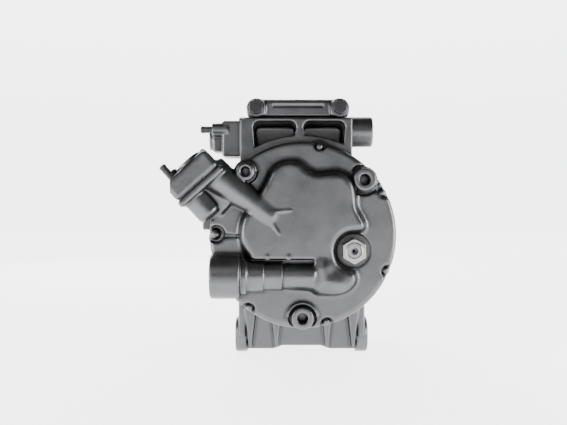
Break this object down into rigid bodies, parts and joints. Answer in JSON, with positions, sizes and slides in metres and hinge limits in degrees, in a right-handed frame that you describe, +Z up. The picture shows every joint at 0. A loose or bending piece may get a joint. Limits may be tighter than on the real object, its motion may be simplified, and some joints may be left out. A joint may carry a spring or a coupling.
{
  "type": "automotive ac compressor",
  "caption": "Belt-driven scroll compressor for car air conditioning: round cast body with mounting lugs, ribbed rear head with side ports and relief valve, and a grooved clutch pulley.",
  "frame": {"origin": "centre of the drive shaft's front end face", "axes": "+Y along the shaft towards the clutch; +Z up through the upper mounting boss; the rear head is at -Y"},
  "size_m": [0.1545, 0.1895, 0.1754],
  "materials": {
    "cast_aluminium": "satin, fine cast grain",
    "machined_aluminium": "turned, satin",
    "steel": "turned or ground",
    "zinc_steel": "bright zinc plate",
    "dark_steel": "black oxide",
    "spring_steel": "satin",
    "rubber": "matt black",
    "gasket": "matt dark grey",
    "black_plastic": "matt black"
  },
  "bodies": {
    "housing": {"rear_head": "cast_aluminium", "discharge_port_block": "cast_aluminium", "shell_housing": "cast_aluminium", "front_housing": "cast_aluminium", "rear_gasket": "gasket", "front_gasket": "gasket", "case_bolt_1": "zinc_steel", "case_bolt_2": "zinc_steel", "case_bolt_3": "zinc_steel", "case_bolt_4": "zinc_steel", "case_bolt_5": "zinc_steel", "case_bolt_6": "zinc_steel", "case_bolt_7": "zinc_steel", "upper_bracket": "cast_aluminium", "bracket_bolt_1": "dark_steel", "bracket_bolt_2": "dark_steel", "fixed_scroll": "machined_aluminium", "thrust_plate": "steel", "guide_pin_1": "steel", "guide_pin_2": "steel", "guide_pin_3": "steel", "reed_retainer": "steel", "main_bearing_outer_race": "steel", "front_bearing_shell": "steel", "shaft_seal": "rubber", "pulley_bearing_inner_race": "steel", "pulley_snap_ring": "spring_steel", "field_coil": "dark_steel", "coil_connector": "black_plastic", "relief_valve_body": "zinc_steel", "relief_spring": "spring_steel", "relief_spring_cap": "steel", "plunger_spring": "spring_steel", "bore_plug": "steel", "plug_snap_ring": "spring_steel", "discharge_port_stud": "black_plastic", "suction_port_stud": "black_plastic"},
    "crank": {"crankshaft": "steel", "drive_bush": "steel", "counterweight": "steel", "main_bearing_inner_race": "steel", "clutch_hub": "dark_steel", "hub_nut": "zinc_steel", "leaf_spring_1": "spring_steel", "leaf_spring_2": "spring_steel", "leaf_spring_3": "spring_steel"},
    "orbiter": {"orbiting_scroll": "machined_aluminium", "guide_ring_1": "steel", "guide_ring_2": "steel", "guide_ring_3": "steel"},
    "bush_cage": {"bush_needle_cage": "steel"},
    "main_cage": {"main_bearing_balls": "steel"},
    "front_cage": {"front_needle_cage": "steel"},
    "armature": {"armature_plate": "steel"},
    "pulley_body": {"pulley": "dark_steel", "pulley_bearing_outer_race": "steel"},
    "pulley_cage": {"pulley_bearing_balls": "steel"},
    "relief": {"relief_poppet": "spring_steel"},
    "plunger": {"capacity_plunger": "machined_aluminium"},
    "reed": {"discharge_reed": "spring_steel"}
  },
  "joints": [
    {"name": "shaft_spin", "type": "hinge", "parent": "housing", "child": "crank", "pos_m": [0, 0, 0], "axis": [0, 1, 0], "continuous": true},
    {"name": "pulley_spin", "type": "hinge", "parent": "housing", "child": "pulley_body", "pos_m": [0, 0, 0], "axis": [0, 1, 0], "continuous": true},
    {"name": "orbit", "type": "hinge", "parent": "crank", "child": "orbiter", "pos_m": [0.00387, 0, 0], "axis": [0, 1, 0], "continuous": true},
    {"name": "bush_cage_roll", "type": "hinge", "parent": "crank", "child": "bush_cage", "pos_m": [0.00387, 0, 0], "axis": [0, 1, 0], "continuous": true},
    {"name": "main_cage_roll", "type": "hinge", "parent": "housing", "child": "main_cage", "pos_m": [0, 0, 0], "axis": [0, 1, 0], "continuous": true},
    {"name": "front_cage_roll", "type": "hinge", "parent": "housing", "child": "front_cage", "pos_m": [0, 0, 0], "axis": [0, 1, 0], "continuous": true},
    {"name": "pulley_cage_roll", "type": "hinge", "parent": "housing", "child": "pulley_cage", "pos_m": [0, 0, 0], "axis": [0, 1, 0], "continuous": true},
    {"name": "armature_pull", "type": "slide", "parent": "crank", "child": "armature", "axis": [0, -1, 0], "range_m": [0, 0.0004], "stiffness_N_per_m": 60000},
    {"name": "relief_lift", "type": "slide", "parent": "housing", "child": "relief", "axis": [0, -1, 0], "range_m": [0, 0.0012], "stiffness_N_per_m": 20000, "deforming": ["relief_spring"]},
    {"name": "plunger_slide", "type": "slide", "parent": "housing", "child": "plunger", "axis": [-1, 0, 0], "range_m": [0, 0.01], "stiffness_N_per_m": 800, "deforming": ["plunger_spring"]},
    {"name": "reed_lift", "type": "hinge", "parent": "housing", "child": "reed", "pos_m": [0.031, -0.1485, 0], "axis": [0, 0, 1], "range_deg": [0, 5], "stiffness_Nm_per_rad": 0.2}
  ],
  "couplings": [
    {"joint": "orbit", "follows": "shaft_spin", "ratio": -1},
    {"joint": "bush_cage_roll", "follows": "shaft_spin", "ratio": -0.558},
    {"joint": "main_cage_roll", "follows": "shaft_spin", "ratio": 0.422},
    {"joint": "front_cage_roll", "follows": "shaft_spin", "ratio": 0.428},
    {"joint": "pulley_cage_roll", "follows": "pulley_spin", "ratio": 0.556}
  ]
}
